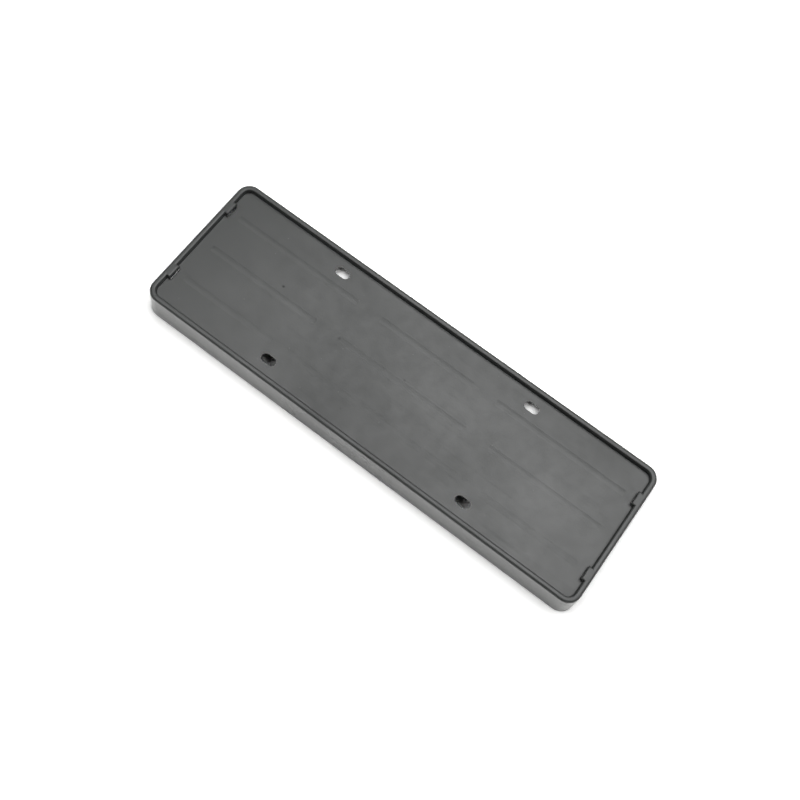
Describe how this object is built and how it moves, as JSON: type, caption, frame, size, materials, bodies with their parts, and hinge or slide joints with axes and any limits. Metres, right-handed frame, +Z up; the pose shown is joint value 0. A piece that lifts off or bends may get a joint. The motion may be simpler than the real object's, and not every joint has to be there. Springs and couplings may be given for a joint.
{
  "type": "number plate holder",
  "caption": "Moulded wedge-shaped tray that holds a vehicle number plate in a rimmed recess under end tabs and is screwed to the bodywork through slots.",
  "frame": {"origin": "middle of the footprint, on the plane that the feet of the walls stand on", "axes": "+X along the plate, +Y from the deep long wall to the shallow one, +Z up out of the mounting surface"},
  "size_m": [0.4982, 0.1601, 0.0345],
  "materials": {
    "moulded_abs": "satin moulded"
  },
  "bodies": {
    "root": {"plate_holder": "moulded_abs"}
  },
  "joints": []
}
